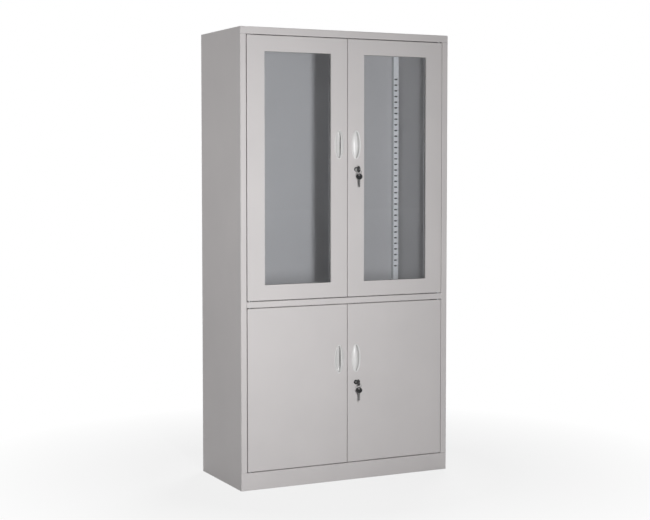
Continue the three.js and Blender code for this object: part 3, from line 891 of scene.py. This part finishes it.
def makeUpright(node, level, hand, row):
    look = uprightShape
    half, fold = look["width"] / 2, look["fold"]
    low, high = cornersOf(node)
    depth = high.y - low.y
    shape = slottedChannel(level, depth, high.z - low.z)
    side, inner = (1, low.x) if hand == "right" else (-1, high.x)
    reach = high.x - low.x - half  # of the foot's tab, to the side wall
    tab = [(half, fold), (reach, fold), (reach, depth - fold), (half, depth - fold)]
    loft(shape, [[(side * x, y, z) for x, y in tab] for z in (0, look["footThick"])])
    centre = inner + side * half
    web, back = (low.y, 1) if row == "rear" else (high.y, -1)  # the slotted web faces the other row
    bmesh.ops.transform(
        shape, verts=shape.verts,
        matrix=Matrix(((1, 0, 0, centre), (0, back, 0, web), (0, 0, 1, low.z), (0, 0, 0, 1))))
    bmesh.ops.recalc_face_normals(shape, faces=shape.faces)
    mesh = bpy.data.meshes.new(node + "_channel")
    shape.to_mesh(mesh)
    shape.free()
    return mesh


def makeUprights():
    places = [(level, hand, row) for level in levels for hand in hands for row in ("front", "rear")]
    names = ["_".join(place) + "_upright" for place in places]
    shape = gathered([makeUpright(name, *place) for name, place in zip(names, places)])
    addPiece("slotted_uprights", shape, uprightPaint, names[0], names)
    print("uprights:", len(names))


makeUprights()


# Screws that hold the glass retainers, on the inside of the glazed doors

screwShape = {
    "profile": ((0.0034, 0.0), (0.0033, 0.0007), (0.0026, 0.0015), (0.0014, 0.0018)),  # radius, height
    "recess": ((0.0011, 0.0018), (0.0006, 0.0011)),
    "around": 12,
    "margin": 0.0065,  # outside the edge of the glass
    "spacing": 0.175,
}
retainerRear = cornersOf("upper_right_door_retainer")[1].y  # the left one also carries the bolt's guides


def makeScrews(hand):
    look = screwShape
    pane = f"upper_{hand}_door_glass"
    low, high = cornersOf(pane)
    middle = (low + high) / 2
    head = lofted(turned(look["profile"] + look["recess"], look["around"]))
    screws = repeated(
        head, frameRow, Width=high.x - low.x + 2 * look["margin"],
        Height=high.z - low.z + 2 * look["margin"], Spacing=look["spacing"],
        Start=(middle.x, retainerRear, middle.z), Finish=zinc)
    addPiece(f"upper_{hand}_door_screws", gathered([screws]), zinc, pane)


for hand in hands:
    makeScrews(hand)
print("retainer screws: 2 doors")


# Spot welds of the back panel, down the rear flanges of the sides

weldShape = {
    "profile": ((0.0030, 0.0), (0.0027, 0.00018), (0.0020, 0.0002), (0.0015, 0.00006)),  # radius, height
    "around": 12,
    "inset": 0.011,  # from the side of the cabinet
    "first": 0.05,
    "pitch": 0.075,
}


def weldRow(hand):
    look = weldShape
    low, high = cornersOf(hand + "_side_panel")
    x = low.x + look["inset"] if hand == "left" else high.x - look["inset"]
    count = int((high.z - 2 * look["first"]) / look["pitch"]) + 1
    weld = lofted(turned(look["profile"], look["around"]))
    return repeated(
        weld, lineRow, Count=count, Step=(0, 0, look["pitch"]), Start=(x, high.y, look["first"]),
        Finish=paint)


welds = gathered([weldRow(hand) for hand in hands])
addPiece("spot_welds", welds, paint, "back_panel")
print("spot welds: 2 rows")


# Studio: pale floor, white surroundings, a strip lamp at the front left, a fill from the left, one behind

studio = {
    "floorSize": 60.0,
    "floorColour": (0.46, 0.46, 0.46),
    "floorRoughness": 0.9,
    "floorWhite": (0.82, 1.0),  # share of plain white that is seen, near the cabinet and away from it
    "floorFade": (0.7, 1.6),  # metres from the origin, between the two
    "ambient": 0.024,
    "gloss": 0.16,  # share of plain white that shows in reflections
}


def seenWhite(tree):
    rays = addNode(tree, "LightPath").outputs
    seen = calc(tree, "MULTIPLY", rays["Is Glossy Ray"], studio["gloss"])
    for ray in ("Is Camera Ray", "Is Transmission Ray"):
        seen = calc(tree, "MAXIMUM", seen, rays[ray])
    return seen


def makeFloor():
    half = studio["floorSize"] / 2
    corners = [(-half, -half, 0), (half, -half, 0), (half, half, 0), (-half, half, 0)]
    mesh = bpy.data.meshes.new("floor")
    mesh.from_pydata(corners, [], [(0, 1, 2, 3)])
    floor = bpy.data.objects.new("floor", mesh)
    bpy.context.scene.collection.objects.link(floor)
    material, tree, shader = newMaterial("pale_floor")
    setInputs(tree, shader, {
        "Base Color": (*studio["floorColour"], 1), "Roughness": studio["floorRoughness"]})
    away = addNode(tree, "VectorMath", {0: objectPlace(tree)}, operation="LENGTH").outputs["Value"]
    fade = between(tree, away, *studio["floorWhite"], *studio["floorFade"])
    white = addNode(tree, "Emission", {"Color": (1, 1, 1, 1), "Strength": 1.0})
    mixedSurface(tree, calc(tree, "MULTIPLY", seenWhite(tree), fade), shader, white)
    mesh.materials.append(material)


def makeSurroundings():
    world = bpy.data.worlds.new("studio")
    bpy.context.scene.world = world
    world.use_nodes = True
    tree = world.node_tree
    tree.nodes.clear()
    strength = between(tree, seenWhite(tree), studio["ambient"], 1.0)
    back = addNode(tree, "Background", {"Color": (1, 1, 1, 1), "Strength": strength})
    addNode(tree, "OutputWorld", {"Surface": back.outputs[0]})


lamps = {
    "strip": {
        "size": (0.18, 0.9),
        "place": (-0.80, -2.58, 1.10),
        "aim": (-0.5, -0.18, 1.15),
        "power": 54.0,
        "spread": 180,  # degrees
        "glare": True,  # shows in reflections
    },
    "fill": {
        "size": (1.2, 0.8),
        "place": (-2.6, 0.35, 1.5),
        "aim": (-0.45, 0.0, 1.2),
        "power": 22.0,
        "spread": 180,
        "glare": False,
    },
    "rear": {
        "size": (1.6, 1.6),
        "place": (2.1, 2.4, 3.9),
        "aim": (0.1, 0.1, 1.1),
        "power": 19.0,
        "spread": 55,
        "glare": False,
    },
}


def makeLamp(name, look):
    light = bpy.data.lights.new(name + "_lamp", "AREA")
    light.shape = "RECTANGLE"
    light.size, light.size_y = look["size"]
    light.energy = look["power"]
    light.spread = math.radians(look["spread"])
    lamp = bpy.data.objects.new(name + "_lamp", light)
    lamp.location = look["place"]
    aim = Vector(look["aim"]) - Vector(look["place"])
    lamp.rotation_euler = aim.to_track_quat("-Z", "Y").to_euler()
    lamp.visible_glossy = look["glare"]
    bpy.context.scene.collection.objects.link(lamp)


photoCamera = {
    "place": (-2.4731, -4.9911, 1.2338),
    "turn": -26.279,  # degrees about the vertical
    "tilt": -3.104,  # degrees from level
    "lens": 77.126,  # mm
    "sensor": 36.0,  # mm
    "shift": -0.03,
}


def makeCamera(look):
    lens = bpy.data.cameras.new("photo_camera")
    lens.sensor_fit = "HORIZONTAL"
    lens.sensor_width = look["sensor"]
    lens.lens = look["lens"]
    lens.shift_y = look["shift"]
    camera = bpy.data.objects.new("photo_camera", lens)
    camera.location = look["place"]
    camera.rotation_euler = (math.radians(90 + look["tilt"]), 0, math.radians(look["turn"]))
    bpy.context.scene.collection.objects.link(camera)
    bpy.context.scene.camera = camera


makeFloor()
makeSurroundings()
for name, look in lamps.items():
    makeLamp(name, look)
makeCamera(photoCamera)
bpy.context.scene.view_settings.view_transform = "Standard"
print("studio: floor, surroundings, lamps and camera")
